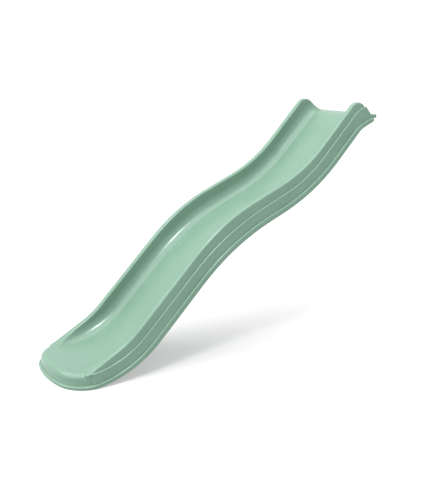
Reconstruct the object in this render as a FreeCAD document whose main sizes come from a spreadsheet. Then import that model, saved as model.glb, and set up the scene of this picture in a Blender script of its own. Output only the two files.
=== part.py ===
import FreeCAD, Part

import math
import os

import Sketcher

# Wave slide: one hollow, double-walled plastic moulding that runs from a rounded toe on
# the ground up to a flat lip on a play platform, with the screws, washers and caps that
# hold its lip, and the plugs that close its blow holes.
#
# Model frame: x across the slide (0 on its middle plane), y from the toe's tip towards
# the platform, z up from the ground, in millimetres. Every finished sub-part is then
# moved so that the origin is the middle of the lip's underside, where the slide rests.
#
# A path is a side view of straight runs joined by tangent bends. The underside path is the
# lowest; the shelf path is the top of the widest band, and the others run above it.

DOC = FreeCAD.newDocument("wave_slide")

SIZES = {
    "toe_tip": 0,
    "ground": 0,
    # Slopes of the three long straight stretches, which every path shares.
    "low_slope": 45,
    "middle_slope": 23,
    "high_slope": 46,
    # Underside path, from the ground at the toe to the skirt below the lip.
    "under_toe_run": 88,
    "under_low_radius": 549,
    "under_low_run": 341,
    "under_hump_radius": 1195,
    "under_middle_run": 98,
    "under_hollow_radius": 1047,
    "under_high_run": 187,
    "under_crest_radius": 120,
    "under_end_slope": 24,
    "skirt_end": 1757,
    # Shelf path: the top of the flange band, along the whole slide.
    "shelf_level": 15,
    "shelf_toe_run": 76,
    "shelf_low_radius": 522,
    "shelf_low_run": 358,
    "shelf_hump_radius": 1222,
    "shelf_middle_run": 98,
    "shelf_hollow_radius": 1020,
    "shelf_high_run": 158,
    "shelf_crest_radius": 260,
    "shelf_end_slope": 12,
    # Half widths of the outside, from the flange up.
    "flange_half_width": 252,
    "band_half_width": 240,
    "wall_half_width": 231,
    "band_root_half_width": 220,
    # Toe, in plan and height.
    "pad_level": 69,
    "pad_root": 10,
    "pad_half_width": 236,
    "toe_corner_radius": 155,
    "toe_bow_radius": 596,
    "pad_set_back": 12,
    # Band path: the top of the raised band between the shelf and the plain wall.
    "band_start": 137,
    "band_toe_run": 88,
    "band_low_radius": 456,
    "band_low_run": 370,
    "band_hump_radius": 1271,
    "band_middle_run": 126,
    "band_hollow_radius": 780,
    "band_high_run": 282,
    "band_top_radius": 104,
    "band_top_slope": 10,
    # Rim path: the top of the side walls, from the toe pad to the back of the ears.
    "rim_pad_run": 105,
    "rim_tip_radius": 60,
    "rim_toe_slope": 29,
    "rim_toe_run": 162,
    "rim_low_radius": 473,
    "rim_low_run": 439,
    "rim_hump_radius": 995,
    "rim_middle_run": 186,
    "rim_hollow_radius": 793,
    "rim_high_run": 268,
    "ear_radius": 58,
    "ear_back_slope": -48,
    # Bed path: the middle of the sliding surface, from the toe pad to the lip.
    "trough_start": 90,
    "bed_toe_run": 50,
    "bed_low_radius": 480,
    "bed_low_run": 304,
    "bed_hump_radius": 1227,
    "bed_middle_run": 98,
    "bed_hollow_radius": 1015,
    "bed_high_run": 229,
    "bed_crest_radius": 120,
    "trough_end": 1840,
    # Trough section, square to the bed path.
    "trough_floor_width": 274,
    "trough_corner_radius": 60,
    "trough_wall_slope": 84,
    "trough_wall_run": 110,
    # Lip.
    "lip_top": 1155,
    "lip_thickness": 19,
    "lip_root": 1750,
    "lip_end": 1797,
    "lip_half_width": 238,
    "lip_corner_radius": 18,
    # Rounded edges of the outside.
    "rim_round": 10,
    "pad_round": 28,
    "flange_round": 4,
    "band_round": 4,
    "lip_round": 3,
    # Wall of the hollow moulding.
    "wall": 3,
    "full_height": 1300,
    # Kiss-offs: slots pressed up from the underside until the two skins meet under the bed.
    "kiss_off_span": 230,
    "kiss_off_radius": 13,
    "kiss_off_depth": 25,
    "kiss_off_draft": 6,
    "kiss_off_weld": 40,
    # Screw places through the lip; heights are above the lip's underside.
    "screw_spacing": 120,
    "screw_hole_radius": 3.25,
    "boss_radius": 19,
    "counterbore_radius": 11,
    "counterbore_floor": 11.5,
    # Lip screw, washer and cap.
    "screw_tip": -37,
    "thread_end": -31,
    "thread_start": -1,
    "thread_radius": 3,
    "shank_radius": 2.25,
    "screw_head_radius": 6,
    "washer_radius": 10,
    "washer_top": 13,
    "head_top": 17,
    "head_edge": 15.5,
    "head_dome_radius": 4,
    "drive_width": 3,
    "drive_depth": 2.5,
    "cap_radius": 10.8,
    "cap_inner_radius": 9.3,
    "cap_underside": 17.4,
    "cap_edge": 19,
    "cap_crown": 20.2,
    "cap_crown_radius": 6,
    # Blow hole through the underside and its plug; heights are out from the underside.
    "blow_hole_radius": 8,
    "plug_stem_radius": 7.9,
    "plug_head_radius": 13,
    "plug_head_edge": 1,
    "plug_crown_radius": 8,
    "plug_crown": 3,
    "plug_bead_radius": 8.8,
    "plug_bead_start": -3.4,
    "plug_bead_widest": -5,
    "plug_end": -8,
    "plug_end_radius": 6.5,
}

LEVEL = "level"
UNDERSIDE_PATH = [
    ("run", "under_toe_run"),
    ("bend", "under_low_radius", "low_slope"),
    ("run", "under_low_run"),
    ("bend", "under_hump_radius", "middle_slope"),
    ("run", "under_middle_run"),
    ("bend", "under_hollow_radius", "high_slope"),
    ("run", "under_high_run"),
    ("bend", "under_crest_radius", "under_end_slope"),
]
SHELF_PATH = [
    ("run", "shelf_toe_run"),
    ("bend", "shelf_low_radius", "low_slope"),
    ("run", "shelf_low_run"),
    ("bend", "shelf_hump_radius", "middle_slope"),
    ("run", "shelf_middle_run"),
    ("bend", "shelf_hollow_radius", "high_slope"),
    ("run", "shelf_high_run"),
    ("bend", "shelf_crest_radius", "shelf_end_slope"),
]
BAND_PATH = [
    ("run", "band_toe_run"),
    ("bend", "band_low_radius", "low_slope"),
    ("run", "band_low_run"),
    ("bend", "band_hump_radius", "middle_slope"),
    ("run", "band_middle_run"),
    ("bend", "band_hollow_radius", "high_slope"),
    ("run", "band_high_run"),
    ("bend", "band_top_radius", "band_top_slope"),
]
RIM_PATH = [
    ("run", "rim_pad_run"),
    ("bend", "rim_tip_radius", "rim_toe_slope"),
    ("run", "rim_toe_run"),
    ("bend", "rim_low_radius", "low_slope"),
    ("run", "rim_low_run"),
    ("bend", "rim_hump_radius", "middle_slope"),
    ("run", "rim_middle_run"),
    ("bend", "rim_hollow_radius", "high_slope"),
    ("run", "rim_high_run"),
    ("bend", "ear_radius", "ear_back_slope"),
]
BED_PATH = [
    ("run", "bed_toe_run"),
    ("bend", "bed_low_radius", "low_slope"),
    ("run", "bed_low_run"),
    ("bend", "bed_hump_radius", "middle_slope"),
    ("run", "bed_middle_run"),
    ("bend", "bed_hollow_radius", "high_slope"),
    ("run", "bed_high_run"),
    ("bend", "bed_crest_radius", LEVEL),
]

SIDE_VIEW = FreeCAD.Placement(FreeCAD.Vector(), FreeCAD.Rotation(FreeCAD.Vector(1, 1, 1), 120))
FRONT_VIEW = FreeCAD.Placement(FreeCAD.Vector(), FreeCAD.Rotation(FreeCAD.Vector(1, 0, 0), 90))
OUT = FreeCAD.Vector(0, 0, 1)
LIP_MIDDLE = "(Sizes.skirt_end + Sizes.lip_end) / 2"
LIP_UNDERSIDE = "(Sizes.lip_top - Sizes.lip_thickness)"
SCREW_COUNT = 4
BLOW_HOLE_EDGES = {"low": "Edge3", "high": "Edge7"}
# Places on the underside path: an edge, and how far along it.
KISS_OFFS = [
    ("Edge2", 0.6),
    ("Edge2", 0.95),
    ("Edge3", 0.8),
    ("Edge4", 0.15),
    ("Edge4", 0.5),
    ("Edge4", 0.85),
    ("Edge6", 0.1),
    ("Edge6", 0.45),
    ("Edge6", 0.8),
    ("Edge7", 0.9),
]
INWARDS = FreeCAD.Rotation(FreeCAD.Vector(1, 0, 0), -90)
OUTWARDS = FreeCAD.Rotation(FreeCAD.Vector(1, 0, 0), 90)


def fill_sheet():
    sheet = DOC.addObject("Spreadsheet::Sheet", "Sizes")
    for row, (alias, value) in enumerate(SIZES.items(), start=1):
        sheet.set(f"A{row}", alias)
        sheet.set(f"B{row}", str(value))
        sheet.setAlias(f"B{row}", alias)
    DOC.recompute()


def make(kind, name, bound=None, **properties):
    """Adds an object; 'bound' maps some of its properties to sheet formulas."""
    thing = DOC.addObject(kind, name)
    for key, value in properties.items():
        setattr(thing, key, value)
    for key, formula in (bound or {}).items():
        thing.setExpression(key, formula)
    return thing


def fix(sketch, kind, *where, size, formula):
    """Adds a dimension to a sketch and binds it to the sheet."""
    index = sketch.addConstraint(Sketcher.Constraint(kind, *where, size))
    sketch.setExpression(f"Constraints[{index}]", formula)


def tie(sketch, kind, *where):
    sketch.addConstraint(Sketcher.Constraint(kind, *where))


def opposite(name):
    return name[1:] if name.startswith("-") else "-" + name


def number(names):
    """The sum of named sizes; a name that starts with a minus sign is taken away."""
    return sum(-SIZES[name[1:]] if name.startswith("-") else SIZES[name] for name in names)


def formula(names):
    """The same sum as a sheet formula."""
    return "0" + "".join(f" - Sizes.{n[1:]}" if n.startswith("-") else f" + Sizes.{n}" for n in names)


def degrees(slope):
    return 0 if slope == LEVEL else SIZES[slope]


def heading(slope):
    angle = math.radians(degrees(slope))
    return FreeCAD.Vector(math.cos(angle), math.sin(angle), 0)


def fix_direction(sketch, line, slope):
    if slope == LEVEL:
        tie(sketch, "Horizontal", line)
    else:
        angle = math.radians(degrees(slope))
        fix(sketch, "Angle", line, size=angle, formula=f"Sizes.{slope} * 1 deg")


def draw_run(sketch, at, slope, length, end):
    """Draws a straight run of one length, or as far as the end line; returns its far point."""
    along = heading(slope)
    reach = SIZES[length] if length else (SIZES[end] - at.x) / along.x
    far = at + along * reach
    line = sketch.addGeometry(Part.LineSegment(at, far))
    fix_direction(sketch, line, slope)
    if length:
        fix(sketch, "Distance", line, size=reach, formula=f"Sizes.{length}")
    else:
        fix(sketch, "DistanceX", -1, 1, line, 2, size=far.x, formula=f"Sizes.{end}")
    return far, (line, 1), (line, 2)


def draw_bend(sketch, at, slope, radius_name, new_slope, drop):
    """Draws an arc that turns a path from one slope to another; returns its far point."""
    turn = 1 if degrees(new_slope) > degrees(slope) else -1
    radius = SIZES[radius_name] + turn * number(drop)
    to_centre = FreeCAD.Vector(-heading(slope).y, heading(slope).x, 0) * turn * radius
    from_centre = FreeCAD.Vector(heading(new_slope).y, -heading(new_slope).x, 0) * turn * radius
    centre = at + to_centre
    angles = sorted(math.radians(degrees(side) - turn * 90) for side in (slope, new_slope))
    arc = sketch.addGeometry(Part.ArcOfCircle(Part.Circle(centre, OUT, radius), *angles))
    fix(sketch, "Radius", arc, size=radius, formula=f"Sizes.{radius_name} + {turn} * ({formula(drop)})")
    near_end, far_end = (1, 2) if turn > 0 else (2, 1)
    return centre + from_centre, (arc, near_end), (arc, far_end)


def draw_path(sketch, start, steps, end, drop=()):
    """Draws runs and tangent bends from a start point until the path crosses the end line.

    start is a pair of size names, across and up. With drop, the path lies that far below
    the one that its sizes describe. Returns the path's two ends.
    """
    level = (start[1], *(opposite(name) for name in drop))
    at = FreeCAD.Vector(SIZES[start[0]], number(level), 0)
    slope = LEVEL
    previous = None
    for kind, *names in steps + [("run", None)]:
        if kind == "run":
            at, near, far = draw_run(sketch, at, slope, names[0], end)
        else:
            at, near, far = draw_bend(sketch, at, slope, *names, drop)
            slope = names[1]
        if previous:
            tie(sketch, "Tangent", *previous, *near)
        else:
            first = near
            fix(sketch, "DistanceX", -1, 1, *near, size=SIZES[start[0]], formula=f"Sizes.{start[0]}")
            fix(sketch, "DistanceY", -1, 1, *near, size=number(level), formula=formula(level))
        previous = far
    return first, previous


def side_outline(name, steps, level, wall, drop):
    """A side view from the underside up to so far below a path, with a straight edge at each end."""
    less = tuple(opposite(part) for part in wall)
    paths = (
        (("toe_tip", "ground"), UNDERSIDE_PATH, "skirt_end", less),
        (("toe_tip", level), steps, "skirt_end", drop),
    )
    sketch = make("Sketcher::SketchObject", name, Placement=SIDE_VIEW)
    for low_end, high_end in zip(*(draw_path(sketch, *path) for path in paths)):
        points = (sketch.getPoint(*low_end), sketch.getPoint(*high_end))
        edge = sketch.addGeometry(Part.LineSegment(*points))
        tie(sketch, "Coincident", *low_end, edge, 1)
        tie(sketch, "Coincident", *high_end, edge, 2)
    return sketch


def draw_outline(sketch, corners):
    """Draws a closed outline of straight lines; each corner is a pair of sums of named sizes."""
    points = [FreeCAD.Vector(*(number(names) for names in corner)) for corner in corners]
    for place, (near, far) in enumerate(zip(points, points[1:] + points[:1])):
        sketch.addGeometry(Part.LineSegment(near, far))
        for kind, names in zip(("DistanceX", "DistanceY"), corners[place]):
            if names:
                fix(sketch, kind, -1, 1, place, 1, size=number(names), formula=formula(names))
            else:
                tie(sketch, "PointOnObject", place, 1, -2 if kind == "DistanceX" else -1)
    for place in range(len(corners)):
        tie(sketch, "Coincident", place, 2, (place + 1) % len(corners), 1)


def toe_outline(name, half_width, set_back, back_edge):
    """A plan of the slide: a bowed front, two round corners and straight sides.

    set_back holds the names of how far the outline lies inside the flange's edge.
    """
    inset = number(set_back)
    less = f" - ({formula(set_back)})"
    bow = SIZES["toe_bow_radius"] - inset
    corner = SIZES["toe_corner_radius"] - inset
    side = number(half_width)
    back = number(back_edge)
    bow_centre = FreeCAD.Vector(0, SIZES["toe_bow_radius"], 0)
    rise = math.sqrt((bow - corner) ** 2 - (side - corner) ** 2)
    spread = math.atan2(side - corner, rise)
    down = -math.pi / 2
    sketch = make("Sketcher::SketchObject", name)
    front = sketch.addGeometry(Part.ArcOfCircle(
        Part.Circle(bow_centre, OUT, bow), down - spread, down + spread))
    tie(sketch, "PointOnObject", front, 3, -2)
    fix(sketch, "DistanceY", -1, 1, front, 3, size=bow_centre.y, formula="Sizes.toe_bow_radius")
    fix(sketch, "Radius", front, size=bow, formula="Sizes.toe_bow_radius" + less)
    rear = sketch.addGeometry(Part.LineSegment(
        FreeCAD.Vector(-side, back, 0), FreeCAD.Vector(side, back, 0)))
    tie(sketch, "Horizontal", rear)
    fix(sketch, "DistanceY", -1, 1, rear, 1, size=back, formula=formula(back_edge))
    for hand, end in ((1, 2), (-1, 1)):
        centre = FreeCAD.Vector(hand * (side - corner), bow_centre.y - rise, 0)
        angles = sorted((down + hand * spread, down + hand * math.pi / 2))
        arc = sketch.addGeometry(Part.ArcOfCircle(Part.Circle(centre, OUT, corner), *angles))
        edge = sketch.addGeometry(Part.LineSegment(
            FreeCAD.Vector(hand * side, centre.y, 0), FreeCAD.Vector(hand * side, back, 0)))
        tie(sketch, "Tangent", front, end, arc, 3 - end)
        tie(sketch, "Tangent", arc, end, edge, 1)
        tie(sketch, "Vertical", edge)
        tie(sketch, "Coincident", edge, 2, rear, end)
        fix(sketch, "Radius", arc, size=corner, formula="Sizes.toe_corner_radius" + less)
        fix(sketch, "DistanceX", -1, 1, edge, 2, size=hand * side,
            formula=f"{hand} * ({formula(half_width)})")
    return sketch


def trough_section():
    """The trough's section: a flat floor, two round corners and two drafted walls."""
    sketch = make("Sketcher::SketchObject", "trough_section", Placement=FRONT_VIEW,
                  bound={"Placement.Base.y": "Sizes.trough_start"})
    half_floor = SIZES["trough_floor_width"] / 2
    radius = SIZES["trough_corner_radius"]
    level = SIZES["pad_level"]
    slope = math.radians(SIZES["trough_wall_slope"])
    down = -math.pi / 2
    floor = sketch.addGeometry(Part.LineSegment(
        FreeCAD.Vector(-half_floor, level, 0), FreeCAD.Vector(half_floor, level, 0)))
    tie(sketch, "Symmetric", floor, 1, floor, 2, -2)
    fix(sketch, "Distance", floor, size=2 * half_floor, formula="Sizes.trough_floor_width")
    fix(sketch, "DistanceY", -1, 1, floor, 1, size=level, formula="Sizes.pad_level")
    tops = []
    for hand, end in ((1, 2), (-1, 1)):
        centre = FreeCAD.Vector(hand * half_floor, level + radius, 0)
        foot = centre + FreeCAD.Vector(hand * math.sin(slope), -math.cos(slope), 0) * radius
        rise = FreeCAD.Vector(hand * math.cos(slope), math.sin(slope), 0)
        angles = sorted((down, down + hand * slope))
        arc = sketch.addGeometry(Part.ArcOfCircle(Part.Circle(centre, OUT, radius), *angles))
        wall = sketch.addGeometry(Part.LineSegment(foot, foot + rise * SIZES["trough_wall_run"]))
        tie(sketch, "Tangent", floor, end, arc, 3 - end)
        tie(sketch, "Tangent", arc, end, wall, 1)
        fix(sketch, "Radius", arc, size=radius, formula="Sizes.trough_corner_radius")
        fix(sketch, "Distance", wall, size=SIZES["trough_wall_run"], formula="Sizes.trough_wall_run")
        fix(sketch, "Angle", wall, size=math.atan2(rise.y, rise.x),
            formula=f"90 deg + {hand} * (Sizes.trough_wall_slope * 1 deg - 90 deg)")
        tops.append((wall, 2))
    lid = sketch.addGeometry(Part.LineSegment(*(sketch.getPoint(*top) for top in tops)))
    tie(sketch, "Coincident", *tops[0], lid, 1)
    tie(sketch, "Coincident", *tops[1], lid, 2)
    return sketch


def across(name, profile, half_width):
    """A side view pulled out to both sides of the middle plane."""
    return make("Part::Extrusion", name, Base=profile, DirMode="Normal", Solid=True, Symmetric=True,
                bound={"LengthFwd": f"2 * ({formula(half_width)})"})


def upright(name, profile, height):
    """A plan pulled straight up."""
    return make("Part::Extrusion", name, Base=profile, DirMode="Normal", Solid=True,
                bound={"LengthFwd": formula(height)})


def cut(name, base, tool, **properties):
    return make("Part::Cut", name, Base=base, Tool=tool, **properties)


def fuse(name, shapes, **properties):
    return make("Part::MultiFuse", name, Shapes=shapes, **properties)


def common(name, shapes):
    return make("Part::MultiCommon", name, Shapes=shapes)


def boxed_edges(test):
    """Picks out the edges of a shape whose box passes a test."""
    return lambda shape: [edge for edge in shape.Edges if test(edge.BoundBox)]


def half_width_of(box):
    """How far a box on one side of the middle plane lies from it; 0 if it crosses it."""
    return max(box.XMin, -box.XMax, 0)


def faces_up(face):
    """Whether a face looks up and is level across the slide."""
    middles = [(low + high) / 2 for low, high in zip(face.ParameterRange[::2], face.ParameterRange[1::2])]
    normal = face.normalAt(*middles)
    return abs(normal.x) < 0.01 and normal.z > 0


def rim_edges(shape):
    """The long edges of the tops of the side walls."""
    tops = [face for face in shape.Faces if faces_up(face) and half_width_of(face.BoundBox) > 0]
    return [edge for top in tops for edge in top.Edges if edge.BoundBox.YLength > 1]


def round_edges(name, solid, radius, wall, choose):
    """Rounds the chosen edges of a solid, by the wall less on the inside."""
    DOC.recompute()
    body = make("PartDesign::Body", name)
    body.BaseFeature = solid
    DOC.recompute()
    sharp = body.Tip
    chosen = choose(sharp.Shape)
    rounding = body.newObject("PartDesign::Fillet", f"{name}_fillet")
    rounding.Base = (sharp, [
        f"Edge{place}" for place, edge in enumerate(sharp.Shape.Edges, start=1)
        if any(edge.isSame(wanted) for wanted in chosen)
    ])
    rounding.setExpression("Radius", f"Sizes.{radius} - ({formula(wall)})")
    DOC.recompute()
    return body


def lip_plate(name, wall):
    """The flat lip."""
    less = tuple(opposite(part) for part in wall)
    side = make("Sketcher::SketchObject", f"{name}_side", Placement=SIDE_VIEW)
    top = ("lip_top", *less)
    underside = ("lip_top", "-lip_thickness", *wall)
    end = ("lip_end", *less)
    draw_outline(side, [(("lip_root",), underside), (end, underside), (end, top), (("lip_root",), top)])
    return across(f"{name}_slab", side, ("lip_half_width", *less))


def cornered_lip(name, wall):
    """The lip with its two outer corners rounded."""
    end = SIZES["lip_end"] - number(wall)
    return round_edges(f"{name}_corners", lip_plate(name, wall), "lip_corner_radius", wall,
                       boxed_edges(lambda box: box.XLength < 1 and box.YMin > end - 1))


def rounded_lip(name):
    """The lip with all its free edges rounded."""
    corners_start = SIZES["lip_end"] - SIZES["lip_corner_radius"]
    return round_edges(name, cornered_lip(name, ()), "lip_round", (),
                       boxed_edges(lambda box: box.ZLength < 1 and box.YMax > corners_start))


def behind(name, start, half_width="flange_half_width"):
    """A tall block of everything behind one place along the slide."""
    return make("Part::Box", name, bound={
        "Length": f"2 * Sizes.{half_width}",
        "Width": "Sizes.lip_end",
        "Height": "Sizes.full_height",
        "Placement.Base.x": f"-Sizes.{half_width}",
        "Placement.Base.y": formula(start),
    })


def slide_form(name, trough, inset):
    """The solid form of the slide, or with inset the space within its walls."""
    wall = ("wall",) if inset else ()
    less = ("-wall",) if inset else ()
    back_edge = ("skirt_end", *less)
    flange_plan = toe_outline(f"{name}_flange_plan", ("flange_half_width", *less), wall, back_edge)
    band_plan = toe_outline(
        f"{name}_band_plan", ("band_half_width", *less), ("pad_set_back", *wall), back_edge)
    pad_plan = toe_outline(
        f"{name}_pad_plan", ("pad_half_width", *less), ("pad_set_back", *wall), back_edge)
    pad_plan.setExpression("Placement.Base.z", "Sizes.pad_root")
    sides = {
        part: side_outline(f"{name}_{part}_side", steps, level, wall, drop)
        for part, steps, level, drop in (
            ("flange", SHELF_PATH, "shelf_level", wall),
            ("band", BAND_PATH, "pad_level", wall),
            ("rim", RIM_PATH, "pad_level", wall * 2),
        )
    }
    flange = common(f"{name}_flange", [
        across(f"{name}_flange_length", sides["flange"], ("flange_half_width", *less)),
        upright(f"{name}_flange_height", flange_plan, ("full_height",)),
    ])
    band = cut(f"{name}_bands", common(f"{name}_band", [
        across(f"{name}_band_length", sides["band"], ("band_half_width", *less)),
        across(f"{name}_band_reach", sides["rim"], ("band_half_width", *less)),
        upright(f"{name}_band_height", band_plan, ("full_height",)),
        behind(f"{name}_behind_toe", ("band_start", *wall)),
    ]), behind(f"{name}_between_bands", ("toe_tip",), "band_root_half_width"))
    pad_top = SIZES["pad_level"] + number(less)
    pad = cut(f"{name}_pad", round_edges(
        f"{name}_pad_edges",
        upright(f"{name}_pad_block", pad_plan, ("pad_level", "-pad_root", *less)),
        "pad_round", wall,
        boxed_edges(lambda box: box.ZMin > pad_top - 1 and box.YMin < SIZES["band_start"]),
    ), behind(f"{name}_behind_pad", ("band_start", "wall", *wall)))
    walls = cut(f"{name}_troughed_walls", common(f"{name}_walls", [
        across(f"{name}_wall_length", sides["rim"], ("wall_half_width", *less)),
        upright(f"{name}_wall_height", pad_plan, ("full_height",)),
        behind(f"{name}_behind_tip", ("rim_pad_run", *wall)),
    ]), trough, Refine=True)
    if inset:
        lip = cornered_lip(f"{name}_lip", wall)
    else:
        lip = rounded_lip(f"{name}_lip")
        flange = round_edges(f"{name}_flange_edges", flange, "flange_round", (), boxed_edges(
            lambda box: half_width_of(box) > SIZES["band_half_width"] and box.YLength > 1))
        band = round_edges(f"{name}_band_edges", band, "band_round", (), boxed_edges(
            lambda box: half_width_of(box) > SIZES["wall_half_width"] and box.YLength > 1))
        walls = round_edges(f"{name}_rims", walls, "rim_round", (), rim_edges)
    return fuse(f"{name}_form", [walls, band, flange, pad, lip], Refine=True)


def cylinder(name, radius, height, **bound):
    return make("Part::Cylinder", name, bound={"Radius": f"Sizes.{radius}", "Height": height, **bound})


def lip_cylinders(name, radius, low, high):
    """Upright cylinders at the screw places, between two heights above the lip's underside."""
    middle = (SCREW_COUNT - 1) / 2
    return [
        cylinder(f"{name}_{place + 1}", radius, f"({high}) - ({low})", **{
            "Placement.Base.x": f"{place - middle} * Sizes.screw_spacing",
            "Placement.Base.y": LIP_MIDDLE,
            "Placement.Base.z": f"{LIP_UNDERSIDE} + ({low})",
        })
        for place in range(SCREW_COUNT)
    ]


def underside_line():
    line = make("Sketcher::SketchObject", "underside_line", Placement=SIDE_VIEW)
    draw_path(line, ("toe_tip", "ground"), UNDERSIDE_PATH, "skirt_end")
    DOC.recompute()
    return line


def stand_on(thing, line, edge, share, turn):
    """Stands an object on the underside, with its z axis square to it."""
    thing.AttachmentSupport = [(line, edge)]
    thing.MapMode = "NormalToEdge"
    thing.MapPathParameter = share
    thing.AttachmentOffset = FreeCAD.Placement(FreeCAD.Vector(), turn)


def blow_holes(underside):
    """A hole through the underside at the middle of each steep straight run, and a seat for its plug."""
    holes = []
    for name, edge in BLOW_HOLE_EDGES.items():
        seat = make("Part::Cylinder", f"{name}_blow_seat", bound={"Radius": "Sizes.blow_hole_radius"})
        stand_on(seat, underside, edge, 0.5, OUTWARDS)
        hole = cylinder(f"{name}_blow_hole", "blow_hole_radius", "2 * Sizes.wall")
        stand_on(hole, underside, edge, 0.5, INWARDS)
        holes.append(hole)
    return holes


def slot_outline(name, wall):
    """A slot across the slide, with round ends."""
    sketch = make("Sketcher::SketchObject", name)
    half_span = SIZES["kiss_off_span"] / 2
    radius = SIZES["kiss_off_radius"] + number(wall)
    quarter = math.pi / 2
    for side in (1, -1):
        near, far = (FreeCAD.Vector(end * side * half_span, side * radius, 0) for end in (1, -1))
        sketch.addGeometry(Part.LineSegment(near, far))
        round_end = Part.Circle(FreeCAD.Vector(-side * half_span, 0, 0), OUT, radius)
        sketch.addGeometry(Part.ArcOfCircle(round_end, side * quarter, side * quarter + math.pi))
    for near, far in ((0, 1), (1, 2), (2, 3), (3, 0)):
        tie(sketch, "Tangent", near, 2, far, 1)
    tie(sketch, "Symmetric", 1, 3, 3, 3, -1, 1)
    tie(sketch, "Horizontal", 0)
    fix(sketch, "Radius", 1, size=radius, formula=f"Sizes.kiss_off_radius + {formula(wall)}")
    fix(sketch, "Distance", 0, size=2 * half_span, formula="Sizes.kiss_off_span")
    return sketch


def kiss_offs(name, underside, depth, wall):
    """Tapered slots pressed in from the underside, larger all round by the wall."""
    slots = []
    for place, (edge, share) in enumerate(KISS_OFFS, start=1):
        outline = slot_outline(f"{name}_outline_{place}", wall)
        stand_on(outline, underside, edge, share, INWARDS)
        slot = make("Part::Extrusion", f"{name}_{place}", Base=outline, DirMode="Normal", Solid=True)
        slot.setExpression("LengthFwd", f"Sizes.{depth}")
        slot.setExpression("TaperAngle", "-Sizes.kiss_off_draft")
        slots.append(slot)
    return fuse(name, slots)


def to_lip_frame(thing):
    """Moves a sub-part so that the middle of the lip's underside is the origin."""
    thing.setExpression("Placement.Base.y", f"-{LIP_MIDDLE}")
    thing.setExpression("Placement.Base.z", f"-{LIP_UNDERSIDE}")


def slide_body():
    bed_line = make("Sketcher::SketchObject", "bed_line", Placement=SIDE_VIEW)
    draw_path(bed_line, ("trough_start", "pad_level"), BED_PATH, "trough_end")
    section = trough_section()
    DOC.recompute()
    wide_section = make("Part::Offset2D", "wide_section", Source=section, Mode="Pipe",
                        Join="Intersection", bound={"Value": "Sizes.wall"})
    DOC.recompute()
    spine = (bed_line, [f"Edge{place}" for place, _ in enumerate(bed_line.Shape.Edges, start=1)])
    forms = []
    for name, profile, inset in (("outside", section, False), ("inside", wide_section, True)):
        trough = make("Part::Sweep", f"{name}_trough", Sections=[profile], Spine=spine, Solid=True)
        forms.append(slide_form(name, trough, inset))
    underside = underside_line()
    solid_places = fuse("solid_places", [
        *lip_cylinders("screw_boss", "boss_radius", "0", "Sizes.lip_thickness"),
        kiss_offs("kiss_off_weld", underside, "kiss_off_weld", ("wall",)),
    ])
    openings = fuse("openings", [
        cut("cavity", forms[1], solid_places),
        kiss_offs("kiss_off", underside, "kiss_off_depth", ()),
        *lip_cylinders("screw_hole", "screw_hole_radius", "0", "Sizes.lip_thickness"),
        *lip_cylinders("counterbore", "counterbore_radius", "Sizes.counterbore_floor", "Sizes.lip_thickness"),
        *blow_holes(underside),
    ])
    body = cut("slide_body", forms[0], openings)
    to_lip_frame(body)
    return body


def origin_part(body, role):
    return next(part for part in body.Origin.OriginFeatures if part.Role == role)


def turned_body(name, corners):
    """A body turned about its z axis; corners are pairs of size names, radius and height, or 0."""
    body = make("PartDesign::Body", name, AllowCompound=True)
    profile = body.newObject("Sketcher::SketchObject", f"{name}_profile")
    profile.AttachmentSupport = [(origin_part(body, "XZ_Plane"), "")]
    profile.MapMode = "FlatFace"
    draw_outline(profile, [tuple((size,) if size else () for size in corner) for corner in corners])
    turned = body.newObject("PartDesign::Revolution", f"{name}_turned")
    turned.Profile = profile
    turned.ReferenceAxis = (profile, ["V_Axis"])
    turned.Angle = 360
    DOC.recompute()
    return body, turned


def repeat_along_lip(body, features):
    """Repeats features of a body at every screw place, and centres the row."""
    row = body.newObject("PartDesign::LinearPattern", f"{body.Name}_row")
    row.Originals = features
    row.Direction = (origin_part(body, "X_Axis"), [""])
    row.Occurrences = SCREW_COUNT
    row.setExpression("Length", f"{SCREW_COUNT - 1} * Sizes.screw_spacing")
    body.Tip = row
    body.setExpression("Placement.Base.x", f"-{SCREW_COUNT - 1} * Sizes.screw_spacing / 2")
    return body


def lip_screws():
    body, turned = turned_body("lip_screws", (
        (0, "screw_tip"),
        ("thread_radius", "thread_end"),
        ("thread_radius", "thread_start"),
        ("shank_radius", "thread_start"),
        ("shank_radius", "washer_top"),
        ("screw_head_radius", "washer_top"),
        ("screw_head_radius", "head_edge"),
        ("head_dome_radius", "head_top"),
        (0, "head_top"),
    ))
    drive = body.newObject("Sketcher::SketchObject", "drive_outline")
    drive.AttachmentSupport = [(origin_part(body, "XY_Plane"), "")]
    drive.MapMode = "FlatFace"
    drive.setExpression("AttachmentOffset.Base.z", "Sizes.head_top")
    half = SIZES["drive_width"] / 2
    corners = [FreeCAD.Vector(x * half, y * half, 0) for x, y in ((-1, -1), (1, -1), (1, 1), (-1, 1))]
    for near, far in zip(corners, corners[1:] + corners[:1]):
        drive.addGeometry(Part.LineSegment(near, far))
    for place, kind in enumerate(("Horizontal", "Vertical") * 2):
        tie(drive, "Coincident", place, 2, (place + 1) % 4, 1)
        tie(drive, kind, place)
    tie(drive, "Symmetric", 0, 1, 1, 2, -1, 1)
    for side in (0, 1):
        fix(drive, "Distance", side, size=2 * half, formula="Sizes.drive_width")
    DOC.recompute()
    pocket = body.newObject("PartDesign::Pocket", "drive")
    pocket.Profile = drive
    pocket.setExpression("Length", "Sizes.drive_depth")
    DOC.recompute()
    return repeat_along_lip(body, [turned, pocket])


def lip_washers():
    body, turned = turned_body("lip_washers", (
        ("screw_hole_radius", "counterbore_floor"),
        ("washer_radius", "counterbore_floor"),
        ("washer_radius", "washer_top"),
        ("screw_hole_radius", "washer_top"),
    ))
    return repeat_along_lip(body, [turned])


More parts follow.
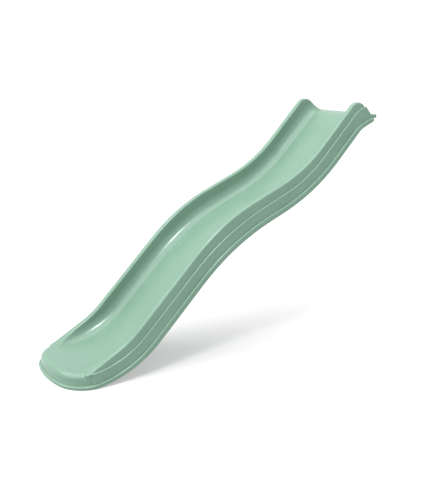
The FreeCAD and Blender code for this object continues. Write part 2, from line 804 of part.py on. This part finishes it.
def lip_screw_caps():
    body, turned = turned_body("lip_screw_caps", (
        ("cap_inner_radius", "washer_top"),
        ("cap_radius", "washer_top"),
        ("cap_radius", "cap_edge"),
        ("cap_crown_radius", "cap_crown"),
        (0, "cap_crown"),
        (0, "cap_underside"),
        ("cap_inner_radius", "cap_underside"),
    ))
    return repeat_along_lip(body, [turned])


def blow_hole_plugs():
    plugs = []
    for name in BLOW_HOLE_EDGES:
        plug, _ = turned_body(f"{name}_plug", (
            (0, "plug_end"),
            ("plug_end_radius", "plug_end"),
            ("plug_bead_radius", "plug_bead_widest"),
            ("plug_stem_radius", "plug_bead_start"),
            ("plug_stem_radius", 0),
            ("plug_head_radius", 0),
            ("plug_head_radius", "plug_head_edge"),
            ("plug_crown_radius", "plug_crown"),
            (0, "plug_crown"),
        ))
        plug.setExpression("Placement", f"{name}_blow_seat.Placement")
        plugs.append(plug)
    both = make("Part::Compound", "blow_hole_plugs", Links=plugs)
    to_lip_frame(both)
    return both


def export(parts):
    """Stops on anything that failed, then writes each sub-part."""
    DOC.recompute()
    for thing in DOC.Objects:
        if {"Invalid", "Error"} & set(thing.State):
            raise RuntimeError(f"{thing.Name} failed: {thing.State}")
    os.makedirs("parts", exist_ok=True)
    for part in parts:
        shape = part.Shape
        if shape.isNull() or not shape.isValid():
            raise RuntimeError(f"{part.Name} has no valid shape")
        shape.exportStep(f"parts/{part.Name}.step")
        print(part.Name, len(shape.Solids), "solids", round(shape.Volume), "mm3", shape.BoundBox)


fill_sheet()
export([slide_body(), lip_screws(), lip_washers(), lip_screw_caps(), blow_hole_plugs()])
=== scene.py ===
import math

import bmesh
import bpy
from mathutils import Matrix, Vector


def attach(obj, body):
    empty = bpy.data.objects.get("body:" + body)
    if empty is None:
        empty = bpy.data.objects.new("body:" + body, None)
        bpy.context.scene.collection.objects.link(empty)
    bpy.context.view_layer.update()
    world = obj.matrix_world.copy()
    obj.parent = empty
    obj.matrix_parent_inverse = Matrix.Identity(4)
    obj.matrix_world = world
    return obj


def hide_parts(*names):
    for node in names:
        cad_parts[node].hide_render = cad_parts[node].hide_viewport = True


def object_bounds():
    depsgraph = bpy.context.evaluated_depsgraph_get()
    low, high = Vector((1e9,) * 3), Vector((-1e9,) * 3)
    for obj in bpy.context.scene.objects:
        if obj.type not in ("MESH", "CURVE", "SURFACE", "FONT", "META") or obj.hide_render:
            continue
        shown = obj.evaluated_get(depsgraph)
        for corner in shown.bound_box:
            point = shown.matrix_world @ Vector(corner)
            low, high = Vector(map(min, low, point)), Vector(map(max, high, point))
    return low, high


# Looks of the wave slide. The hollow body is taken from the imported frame, welded and shaded
# smooth like a blow-moulding. The screws get real threads.
# Lengths are in metres and angles in degrees.

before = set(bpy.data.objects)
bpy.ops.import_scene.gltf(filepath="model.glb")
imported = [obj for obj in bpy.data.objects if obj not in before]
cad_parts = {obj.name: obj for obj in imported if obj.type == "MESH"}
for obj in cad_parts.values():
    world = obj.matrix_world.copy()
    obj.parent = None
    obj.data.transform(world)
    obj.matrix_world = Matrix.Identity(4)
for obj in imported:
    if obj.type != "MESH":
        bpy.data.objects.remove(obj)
cad_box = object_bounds()
FLOOR_LEVEL = cad_box[0].z

# Camera, at the photograph's viewing angle.
CAMERA_PLACE = Vector((3.1581, -2.8410, 0.3104))
CAMERA_AZIMUTH = 57.7
CAMERA_ELEVATION = 14.1
CAMERA_LENS = 55.0
CAMERA_SENSOR = 36.0

# Floor and light. Azimuth 0 is the toe's end and 90 the right-hand side.
FLOOR_SIZE = 60.0
FLOOR_COLOUR = (0.38, 0.38, 0.38)
FLOOR_GLOW = 0.40
SKY_STRENGTH = 1.0
KEY_AZIMUTH = 45
KEY_ELEVATION = 56
KEY_DISTANCE = 4.0
KEY_SIZE = 0.7
KEY_POWER = 80
OVERHEAD_AZIMUTH = -15
OVERHEAD_ELEVATION = 62
OVERHEAD_WIDTH = 80
OVERHEAD_STRENGTH = 3.6
VIEW_GAMMA = 0.88

# Moulding and plastic.
SHARP_ANGLE = 38
MERGE_DISTANCE = 0.00001
# Radius of the edge mask that paints edges lighter: partly rubbing wear, partly painted highlight.
EDGE_WEAR_AND_HIGHLIGHT = 0.003
EVEN_AGREEMENT = 0.995
CORNER_AGREEMENT = 0.93
PLASTIC_IOR = 1.5

# Screws. The thread starts below the lip and tapers to the tip.
RING = 48
THREAD_PITCH = 0.0026
THREAD_DEPTH = 0.0008
THREAD_TOP = -0.001
RIDGE_SHARE = 0.5
RINGS_PER_PITCH = 8
TIP_TAPER = 0.006
SHANK_RADIUS = 0.003
HEAD_LEVEL = 0.013
HEAD_EDGE = 0.0008
DRIVE_HALF = 0.0016
DRIVE_DEPTH = 0.0025

# Colours.
MINT = (0.151, 0.244, 0.188)
MINT_DEEP = (0.144, 0.235, 0.180)
MINT_LIGHT = (0.158, 0.253, 0.196)
# Lighter mint on edges: partly rubbed plastic, partly painted highlight.
MINT_WORN_AND_HIGHLIT = (0.300, 0.430, 0.350)
CAP_MINT = (0.125, 0.232, 0.165)
PLUG_MINT = (0.108, 0.200, 0.143)
ZINC = (0.66, 0.67, 0.69)
ZINC_BLUE = (0.55, 0.58, 0.64)


def link(thing):
    bpy.context.scene.collection.objects.link(thing)
    return thing


def made_from(mesh, name):
    """A new smooth-shaded object from a bmesh, which it frees."""
    data = bpy.data.meshes.new(name)
    mesh.to_mesh(data)
    mesh.free()
    data.shade_smooth()
    return link(bpy.data.objects.new(name, data))


def merged_copy(node):
    mesh = bmesh.new()
    mesh.from_mesh(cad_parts[node].data)
    bmesh.ops.remove_doubles(mesh, verts=mesh.verts, dist=MERGE_DISTANCE)
    return mesh


def connected(vert):
    """Every vertex joined to this one by edges."""
    found = {vert}
    front = [vert]
    while front:
        here = front.pop()
        for edge in here.link_edges:
            there = edge.other_vert(here)
            if there not in found:
                found.add(there)
                front.append(there)
    return found


def boxes_of(node):
    """The lowest and highest corner of each separate piece of a node, from left to right."""
    mesh = merged_copy(node)
    left = set(mesh.verts)
    boxes = []
    while left:
        piece = connected(next(iter(left)))
        left -= piece
        corners = [[pick(vert.co[axis] for vert in piece) for axis in range(3)] for pick in (min, max)]
        boxes.append(tuple(Vector(corner) for corner in corners))
    mesh.free()
    return sorted(boxes, key=lambda box: tuple(box[0]))


def middle(box):
    return (box[0] + box[1]) / 2


def apply_modifiers(thing):
    bpy.context.view_layer.update()
    evaluated = thing.evaluated_get(bpy.context.evaluated_depsgraph_get())
    data = bpy.data.meshes.new_from_object(evaluated)
    thing.modifiers.clear()
    thing.data = data


def round_normals(thing):
    """Smooth shading that follows the large faces and stays crisp on real corners."""
    thing.data.set_sharp_from_angle(angle=math.radians(SHARP_ANGLE))
    weighted = thing.modifiers.new("weighted", "WEIGHTED_NORMAL")
    weighted.keep_sharp = True
    apply_modifiers(thing)


def bridge(mesh, lower, upper):
    """Quads between two rings of as many vertices."""
    for place in range(len(lower)):
        after = (place + 1) % len(lower)
        mesh.faces.new((lower[place], lower[after], upper[after], upper[place]))


# ---- screws ----

def square_reach(turn):
    """How far a square of half-width 1 reaches at this turn."""
    return 1 / max(abs(math.cos(turn)), abs(math.sin(turn)))


def thread_radius(height, turn, tip):
    """The screw's radius on its thread, which winds once per pitch."""
    wind = (height / THREAD_PITCH - turn / (2 * math.pi)) % 1
    ridge = max(0.0, 1 - abs(wind - 0.5) * 2 / RIDGE_SHARE)
    taper = min(1.0, (height - tip) / TIP_TAPER)
    return taper * (SHANK_RADIUS - THREAD_DEPTH * (1 - ridge))


def shaped_ring(mesh, centre, height, radius_at):
    """A level ring of points whose radius depends on the turn."""
    points = []
    for step in range(RING):
        turn = 2 * math.pi * step / RING
        radius = radius_at(turn)
        reach = Vector((math.cos(turn), math.sin(turn))) * radius
        points.append(mesh.verts.new((centre.x + reach.x, centre.y + reach.y, height)))
    return points


def add_screw(mesh, box):
    """One threaded screw with a round head and a square drive."""
    centre = middle(box)
    tip, top = box[0].z, box[1].z
    wide = box[1].x - centre.x
    step = THREAD_PITCH / RINGS_PER_PITCH
    rings = []
    height = tip + step
    while height < THREAD_TOP:
        rings.append(shaped_ring(mesh, centre, height, lambda turn: thread_radius(height, turn, tip)))
        height += step
    plain = [
        (THREAD_TOP, SHANK_RADIUS - THREAD_DEPTH),
        (THREAD_TOP + step, SHANK_RADIUS),
        (HEAD_LEVEL, SHANK_RADIUS),
        (HEAD_LEVEL, wide),
        (top - HEAD_EDGE, wide),
        (top - HEAD_EDGE / 3, wide - HEAD_EDGE / 3),
        (top, wide - HEAD_EDGE),
    ]
    for height, radius in plain:
        rings.append(shaped_ring(mesh, centre, height, lambda turn: radius))
    for height in (top, top - DRIVE_DEPTH):
        rings.append(shaped_ring(mesh, centre, height, lambda turn: DRIVE_HALF * square_reach(turn)))
    for lower, upper in zip(rings, rings[1:]):
        bridge(mesh, lower, upper)
    point = mesh.verts.new((centre.x, centre.y, tip))
    for place in range(RING):
        mesh.faces.new((point, rings[0][(place + 1) % RING], rings[0][place]))
    mesh.faces.new(rings[-1])


def threaded_screws(boxes):
    mesh = bmesh.new()
    for box in boxes:
        add_screw(mesh, box)
    bmesh.ops.recalc_face_normals(mesh, faces=mesh.faces)
    screws = made_from(mesh, "threaded_screws")
    round_normals(screws)
    return screws


# ---- materials ----

def new_material(name, colour, roughness, **sockets):
    material = bpy.data.materials.new(name)
    material.use_nodes = True
    shader = material.node_tree.nodes["Principled BSDF"]
    shader.inputs["Base Color"].default_value = (*colour, 1)
    shader.inputs["Roughness"].default_value = roughness
    for socket, value in sockets.items():
        shader.inputs[socket.replace("_", " ")].default_value = value
    return material, shader


def noise(material, scale, detail=3, stretch=(1, 1, 1)):
    """A noise pattern in the row frame; scale is in patches per metre."""
    nodes, links = material.node_tree.nodes, material.node_tree.links
    place = nodes.new("ShaderNodeTexCoord")
    stretched = nodes.new("ShaderNodeMapping")
    stretched.inputs["Scale"].default_value = stretch
    pattern = nodes.new("ShaderNodeTexNoise")
    pattern.inputs["Scale"].default_value = scale
    pattern.inputs["Detail"].default_value = detail
    links.new(place.outputs["Object"], stretched.inputs["Vector"])
    links.new(stretched.outputs["Vector"], pattern.inputs["Vector"])
    return pattern.outputs["Fac"]


def spread(material, value, low, high, start=0.3, end=0.7):
    """Maps a pattern from start..end onto low..high."""
    node = material.node_tree.nodes.new("ShaderNodeMapRange")
    node.inputs["From Min"].default_value = start
    node.inputs["From Max"].default_value = end
    node.inputs["To Min"].default_value = low
    node.inputs["To Max"].default_value = high
    material.node_tree.links.new(value, node.inputs["Value"])
    return node.outputs["Result"]


def tint(material, share, low, high):
    """A colour between two, by a share; low is a colour or the output of a node."""
    node = material.node_tree.nodes.new("ShaderNodeMix")
    node.data_type = "RGBA"
    if isinstance(low, tuple):
        node.inputs["A"].default_value = (*low, 1)
    else:
        material.node_tree.links.new(low, node.inputs["A"])
    node.inputs["B"].default_value = (*high, 1)
    material.node_tree.links.new(share, node.inputs["Factor"])
    return node.outputs["Result"]


def bump(material, shader, height, distance):
    node = material.node_tree.nodes.new("ShaderNodeBump")
    node.inputs["Distance"].default_value = distance
    node.inputs["Strength"].default_value = 1
    material.node_tree.links.new(height, node.inputs["Height"])
    material.node_tree.links.new(node.outputs["Normal"], shader.inputs["Normal"])


def add_up(material, first, second, share):
    """first plus share times second."""
    node = material.node_tree.nodes.new("ShaderNodeMath")
    node.operation = "MULTIPLY_ADD"
    node.inputs[1].default_value = share
    material.node_tree.links.new(second, node.inputs[0])
    material.node_tree.links.new(first, node.inputs[2])
    return node.outputs[0]


def edge_share(material, radius):
    """From 0 on even faces to 1 where the surface turns by about 20 degrees within this radius."""
    nodes, links = material.node_tree.nodes, material.node_tree.links
    rounded = nodes.new("ShaderNodeBevel")
    rounded.inputs["Radius"].default_value = radius
    plain = nodes.new("ShaderNodeNewGeometry")
    agree = nodes.new("ShaderNodeVectorMath")
    agree.operation = "DOT_PRODUCT"
    links.new(rounded.outputs["Normal"], agree.inputs[0])
    links.new(plain.outputs["Normal"], agree.inputs[1])
    return spread(material, agree.outputs["Value"], 0, 1, start=EVEN_AGREEMENT, end=CORNER_AGREEMENT)


def mint_plastic():
    """Glossy polyethylene, coloured through: cloudy patches, edges painted lighter as rubbing wear and
    as painted highlight, grain and fine scuffs.
    """
    material, shader = new_material("mint_plastic", MINT, 0.26, IOR=PLASTIC_IOR, Specular_IOR_Level=0.4)
    links = material.node_tree.links
    clouds = noise(material, scale=5, detail=4)
    cloudy = tint(material, spread(material, clouds, 0, 1), MINT_DEEP, MINT_LIGHT)
    # Edges are painted lighter: partly rubbing wear, partly a painted highlight along ledges and rims.
    rubbed_and_highlit = tint(material, edge_share(material, EDGE_WEAR_AND_HIGHLIGHT), cloudy, MINT_WORN_AND_HIGHLIT)
    links.new(rubbed_and_highlit, shader.inputs["Base Color"])
    patches = spread(material, noise(material, scale=9), 0.2, 0.25)
    scuffs = spread(material, noise(material, scale=160, detail=2, stretch=(1, 0.06, 0.06)), 0, 1)
    links.new(add_up(material, patches, scuffs, share=0.02), shader.inputs["Roughness"])
    ripple = noise(material, scale=26, detail=1)
    grain = noise(material, scale=700, detail=2)
    bump(material, shader, add_up(material, ripple, grain, share=0.05), distance=0.0002)
    return material


def small_plastic(name, colour, roughness):
    """Injection-moulded plastic: fine grain and slight rubbing."""
    material, shader = new_material(name, colour, roughness, IOR=PLASTIC_IOR)
    links = material.node_tree.links
    dark = tuple(part * 0.9 for part in colour)
    patches = spread(material, noise(material, scale=140), 0, 1)
    links.new(tint(material, patches, dark, colour), shader.inputs["Base Color"])
    rubbing = spread(material, noise(material, scale=300), roughness - 0.06, roughness + 0.08)
    links.new(rubbing, shader.inputs["Roughness"])
    bump(material, shader, noise(material, scale=2500, detail=2), distance=0.00006)
    return material


def zinc_steel():
    """Bright zinc plate: cloudy passivation and fine turning marks."""
    material, shader = new_material("zinc_steel", ZINC, 0.3, Metallic=1.0)
    links = material.node_tree.links
    clouds = spread(material, noise(material, scale=220, detail=4), 0, 1)
    links.new(tint(material, clouds, ZINC_BLUE, ZINC), shader.inputs["Base Color"])
    rubbing = spread(material, noise(material, scale=500, stretch=(1, 1, 4)), 0.22, 0.42)
    links.new(rubbing, shader.inputs["Roughness"])
    bump(material, shader, noise(material, scale=3000, detail=2, stretch=(1, 1, 6)), distance=0.00003)
    return material


def paint(thing, material):
    thing.data.materials.clear()
    thing.data.materials.append(material)


# ---- stage ----

def direction(azimuth, elevation):
    """The unit vector towards a place round the object, in degrees; azimuth 0 is the toe's end."""
    around, above = math.radians(azimuth), math.radians(elevation)
    level = math.cos(above)
    return Vector((math.sin(around) * level, -math.cos(around) * level, math.sin(above)))


def make_camera():
    camera = link(bpy.data.objects.new("camera", bpy.data.cameras.new("camera")))
    camera.location = CAMERA_PLACE
    camera.rotation_mode = "QUATERNION"
    camera.rotation_quaternion = direction(CAMERA_AZIMUTH, CAMERA_ELEVATION).to_track_quat("Z", "Y")
    camera.data.lens = CAMERA_LENS
    camera.data.sensor_width = CAMERA_SENSOR
    bpy.context.scene.camera = camera


def make_floor():
    mesh = bmesh.new()
    bmesh.ops.create_grid(mesh, x_segments=1, y_segments=1, size=FLOOR_SIZE / 2)
    floor = made_from(mesh, "floor")
    floor.location.z = FLOOR_LEVEL
    material, shader = new_material("floor", FLOOR_COLOUR, 0.9, Emission_Strength=FLOOR_GLOW)
    shader.inputs["Emission Color"].default_value = (1, 1, 1, 1)
    paint(floor, material)


def make_sky():
    world = bpy.data.worlds.new("studio")
    bpy.context.scene.world = world
    world.use_nodes = True
    background = world.node_tree.nodes["Background"]
    background.inputs["Color"].default_value = (1, 1, 1, 1)
    background.inputs["Strength"].default_value = SKY_STRENGTH


def make_key():
    """A square soft light that faces the middle of the slide."""
    lamp = bpy.data.lights.new("key", "AREA")
    lamp.size = KEY_SIZE
    lamp.energy = KEY_POWER
    light = link(bpy.data.objects.new("key", lamp))
    away = direction(KEY_AZIMUTH, KEY_ELEVATION)
    light.location = middle(cad_box) + away * KEY_DISTANCE
    light.rotation_mode = "QUATERNION"
    light.rotation_quaternion = away.to_track_quat("Z", "Y")


def make_overhead():
    """A distant, very wide soft light."""
    lamp = bpy.data.lights.new("overhead", "SUN")
    lamp.angle = math.radians(OVERHEAD_WIDTH)
    lamp.energy = OVERHEAD_STRENGTH
    light = link(bpy.data.objects.new("overhead", lamp))
    light.rotation_mode = "QUATERNION"
    light.rotation_quaternion = direction(OVERHEAD_AZIMUTH, OVERHEAD_ELEVATION).to_track_quat("Z", "Y")


tone = bpy.context.scene.view_settings
tone.view_transform = "Standard"
tone.gamma = VIEW_GAMMA
make_camera()
make_floor()
make_sky()
make_key()
make_overhead()

moulding = made_from(merged_copy("slide_body"), "slide_moulding")
round_normals(moulding)
paint(moulding, mint_plastic())
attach(moulding, "root")
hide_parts("slide_body")

steel = zinc_steel()
screws = threaded_screws(boxes_of("lip_screws"))
paint(screws, steel)
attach(screws, "root")
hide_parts("lip_screws")
paint(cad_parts["lip_washers"], steel)
paint(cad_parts["lip_screw_caps"], small_plastic("cap_plastic", CAP_MINT, 0.34))
paint(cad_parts["blow_hole_plugs"], small_plastic("plug_plastic", PLUG_MINT, 0.5))
